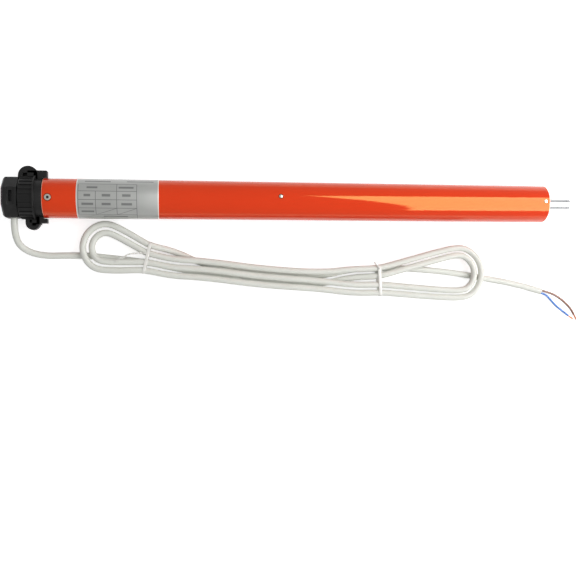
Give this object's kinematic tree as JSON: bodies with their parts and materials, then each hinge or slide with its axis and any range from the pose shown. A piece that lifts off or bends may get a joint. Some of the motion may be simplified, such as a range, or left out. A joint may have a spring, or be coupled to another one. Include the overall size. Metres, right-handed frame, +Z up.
{
  "type": "awning motor",
  "caption": "Slim tubular motor with a ribbed crown on a limit-switch head, a round output shaft and a coiled two-core cable, for rolling an awning or screen.",
  "frame": {"origin": "below the middle of the motor, from the head's end face to the shaft's tip, on the surface that the crown's flange rests on", "axes": "+X along the motor's axis from the head to the output shaft, +Z up, +Y away from the cable"},
  "size_m": [0.5443, 0.1416, 0.04],
  "materials": {
    "orange_paint": "glossy enamel",
    "label_foil": "satin printed foil, bare of text",
    "black_plastic": "moulded glass-filled nylon, satin",
    "screw_steel": "zinc plated",
    "gland_rubber": "matt black grip",
    "cable_jacket": "smooth soft PVC, white-grey",
    "core_brown": "smooth PVC",
    "core_blue": "smooth PVC",
    "copper": "bare copper",
    "tie_plastic": "thin white plastic ribbon with wire",
    "white_plastic": "moulded acetal",
    "switch_case": "moulded phenolic",
    "motor_steel": "zinc plated sheet steel",
    "magnet_ferrite": "ground ferrite",
    "carbon": "pressed carbon",
    "bronze": "sintered bronze",
    "board": "circuit board laminate",
    "board_parts": "potted chokes and capacitor",
    "laminated_steel": "stacked laminations",
    "gear_steel": "machined and oiled",
    "friction_lining": "moulded brake lining",
    "shaft_steel": "ground and polished"
  },
  "bodies": {
    "housing": {"motor_tube": "orange_paint", "rating_label": "label_foil", "head_block": "black_plastic", "head_plug": "black_plastic", "head_screws": "screw_steel", "tube_screws": "screw_steel", "tube_pins": "screw_steel", "cable_gland": "gland_rubber", "limit_frame": "white_plastic", "inner_wires": "core_brown", "motor_can": "motor_steel", "motor_end_bell": "black_plastic", "motor_brushes": "carbon", "motor_bearings": "bronze", "motor_magnets": "magnet_ferrite", "suppression_board": "board", "suppression_parts": "board_parts", "brake_body": "motor_steel", "brake_coil": "copper", "brake_spring": "gear_steel", "gearbox_housing": "gear_steel", "output_bearing": "bronze", "cable_lead": "cable_jacket", "cable_hank": "cable_jacket", "cable_tail": "cable_jacket", "core_brown": "core_brown", "core_blue": "core_blue", "core_ends": "copper", "cable_ties": "tie_plastic"},
    "crown": {"crown_adapter": "black_plastic", "limit_ring": "white_plastic"},
    "limit_pinion": {"limit_pinion": "white_plastic"},
    "output": {"output_shaft": "shaft_steel"},
    "carrier_2": {"carrier_2": "gear_steel"},
    "carrier_1": {"carrier_1": "gear_steel"},
    "rotor": {"rotor_shaft": "shaft_steel", "rotor_core": "laminated_steel", "rotor_windings": "copper", "commutator": "copper", "brake_disc": "friction_lining", "sun_gear_1": "gear_steel"},
    "brake_plate": {"brake_plate": "motor_steel"},
    "limit_spindle_up": {"limit_spindle_up": "bronze"},
    "limit_nut_up": {"limit_nut_up": "white_plastic"},
    "limit_switch_up": {"limit_switch_up": "switch_case"},
    "adjusting_screw_up": {"adjusting_screw_up": "white_plastic"},
    "limit_spindle_down": {"limit_spindle_down": "bronze"},
    "limit_nut_down": {"limit_nut_down": "white_plastic"},
    "limit_switch_down": {"limit_switch_down": "switch_case"},
    "adjusting_screw_down": {"adjusting_screw_down": "white_plastic"},
    "planet_1a": {"planet_1a": "white_plastic"},
    "planet_1b": {"planet_1b": "white_plastic"},
    "planet_1c": {"planet_1c": "white_plastic"},
    "planet_2a": {"planet_2a": "gear_steel"},
    "planet_2b": {"planet_2b": "gear_steel"},
    "planet_2c": {"planet_2c": "gear_steel"},
    "planet_3a": {"planet_3a": "gear_steel"},
    "planet_3b": {"planet_3b": "gear_steel"},
    "planet_3c": {"planet_3c": "gear_steel"}
  },
  "joints": [
    {"name": "output_spin", "type": "hinge", "parent": "housing", "child": "output", "pos_m": [0, 0, 0.02], "axis": [1, 0, 0], "continuous": true},
    {"name": "carrier_2_spin", "type": "hinge", "parent": "housing", "child": "carrier_2", "pos_m": [0, 0, 0.02], "axis": [1, 0, 0], "continuous": true},
    {"name": "carrier_1_spin", "type": "hinge", "parent": "housing", "child": "carrier_1", "pos_m": [0, 0, 0.02], "axis": [1, 0, 0], "continuous": true},
    {"name": "rotor_spin", "type": "hinge", "parent": "housing", "child": "rotor", "pos_m": [0, 0, 0.02], "axis": [1, 0, 0], "continuous": true},
    {"name": "planet_1a_spin", "type": "hinge", "parent": "carrier_1", "child": "planet_1a", "pos_m": [0, 0.00824, 0.02048], "axis": [1, 0, 0], "continuous": true},
    {"name": "planet_1b_spin", "type": "hinge", "parent": "carrier_1", "child": "planet_1b", "pos_m": [0, -0.00453, 0.02689], "axis": [1, 0, 0], "continuous": true},
    {"name": "planet_1c_spin", "type": "hinge", "parent": "carrier_1", "child": "planet_1c", "pos_m": [0, -0.0037, 0.01263], "axis": [1, 0, 0], "continuous": true},
    {"name": "planet_2a_spin", "type": "hinge", "parent": "carrier_2", "child": "planet_2a", "pos_m": [0, 0.009, 0.02], "axis": [1, 0, 0], "continuous": true},
    {"name": "planet_2b_spin", "type": "hinge", "parent": "carrier_2", "child": "planet_2b", "pos_m": [0, -0.0045, 0.02779], "axis": [1, 0, 0], "continuous": true},
    {"name": "planet_2c_spin", "type": "hinge", "parent": "carrier_2", "child": "planet_2c", "pos_m": [0, -0.0045, 0.01221], "axis": [1, 0, 0], "continuous": true},
    {"name": "planet_3a_spin", "type": "hinge", "parent": "output", "child": "planet_3a", "pos_m": [0, 0.009, 0.02], "axis": [1, 0, 0], "continuous": true},
    {"name": "planet_3b_spin", "type": "hinge", "parent": "output", "child": "planet_3b", "pos_m": [0, -0.0045, 0.02779], "axis": [1, 0, 0], "continuous": true},
    {"name": "planet_3c_spin", "type": "hinge", "parent": "output", "child": "planet_3c", "pos_m": [0, -0.0045, 0.01221], "axis": [1, 0, 0], "continuous": true},
    {"name": "crown_spin", "type": "hinge", "parent": "housing", "child": "crown", "pos_m": [0, 0, 0.02], "axis": [1, 0, 0], "range_deg": [-4320, 4320]},
    {"name": "limit_pinion_spin", "type": "hinge", "parent": "housing", "child": "limit_pinion", "pos_m": [0, 0, 0.0095], "axis": [1, 0, 0], "range_deg": [-19442, 19442]},
    {"name": "limit_spindle_up_spin", "type": "hinge", "parent": "housing", "child": "limit_spindle_up", "pos_m": [0, 0.0062, 0.01456], "axis": [1, 0, 0], "range_deg": [-11666, 11666]},
    {"name": "limit_nut_up_travel", "type": "slide", "parent": "housing", "child": "limit_nut_up", "axis": [1, 0, 0], "range_m": [-0.0162, 0.0162]},
    {"name": "limit_spindle_down_spin", "type": "hinge", "parent": "housing", "child": "limit_spindle_down", "pos_m": [0, -0.0062, 0.01456], "axis": [1, 0, 0], "range_deg": [-11666, 11666]},
    {"name": "limit_nut_down_travel", "type": "slide", "parent": "housing", "child": "limit_nut_down", "axis": [1, 0, 0], "range_m": [-0.0162, 0.0162]},
    {"name": "limit_switch_up_travel", "type": "slide", "parent": "housing", "child": "limit_switch_up", "axis": [1, 0, 0], "range_m": [-0.004, 0.004]},
    {"name": "adjusting_screw_up_turn", "type": "hinge", "parent": "housing", "child": "adjusting_screw_up", "pos_m": [0, 0.0035, 0.02606], "axis": [1, 0, 0], "range_deg": [-2882, 2882]},
    {"name": "limit_switch_down_travel", "type": "slide", "parent": "housing", "child": "limit_switch_down", "axis": [1, 0, 0], "range_m": [-0.004, 0.004]},
    {"name": "adjusting_screw_down_turn", "type": "hinge", "parent": "housing", "child": "adjusting_screw_down", "pos_m": [0, -0.0035, 0.02606], "axis": [1, 0, 0], "range_deg": [-2882, 2882]},
    {"name": "brake_release", "type": "slide", "parent": "housing", "child": "brake_plate", "axis": [-1, 0, 0], "range_m": [0, 0.0004], "stiffness_N_per_m": 1000}
  ],
  "couplings": [
    {"joint": "carrier_2_spin", "follows": "output_spin", "ratio": 4},
    {"joint": "carrier_1_spin", "follows": "output_spin", "ratio": 16},
    {"joint": "rotor_spin", "follows": "output_spin", "ratio": 88},
    {"joint": "planet_1a_spin", "follows": "output_spin", "ratio": -41.143},
    {"joint": "planet_1b_spin", "follows": "output_spin", "ratio": -41.143},
    {"joint": "planet_1c_spin", "follows": "output_spin", "ratio": -41.143},
    {"joint": "planet_2a_spin", "follows": "output_spin", "ratio": -12},
    {"joint": "planet_2b_spin", "follows": "output_spin", "ratio": -12},
    {"joint": "planet_2c_spin", "follows": "output_spin", "ratio": -12},
    {"joint": "planet_3a_spin", "follows": "output_spin", "ratio": -3},
    {"joint": "planet_3b_spin", "follows": "output_spin", "ratio": -3},
    {"joint": "planet_3c_spin", "follows": "output_spin", "ratio": -3},
    {"joint": "limit_pinion_spin", "follows": "crown_spin", "ratio": 4.5},
    {"joint": "limit_spindle_up_spin", "follows": "crown_spin", "ratio": -2.7},
    {"joint": "limit_nut_up_travel", "follows": "crown_spin", "m_per_rad": 0.00021486},
    {"joint": "limit_spindle_down_spin", "follows": "crown_spin", "ratio": -2.7},
    {"joint": "limit_nut_down_travel", "follows": "crown_spin", "m_per_rad": 0.00021486},
    {"joint": "adjusting_screw_up_turn", "follows": "limit_switch_up_travel", "rad_per_m": -12566},
    {"joint": "adjusting_screw_down_turn", "follows": "limit_switch_down_travel", "rad_per_m": -12566}
  ]
}
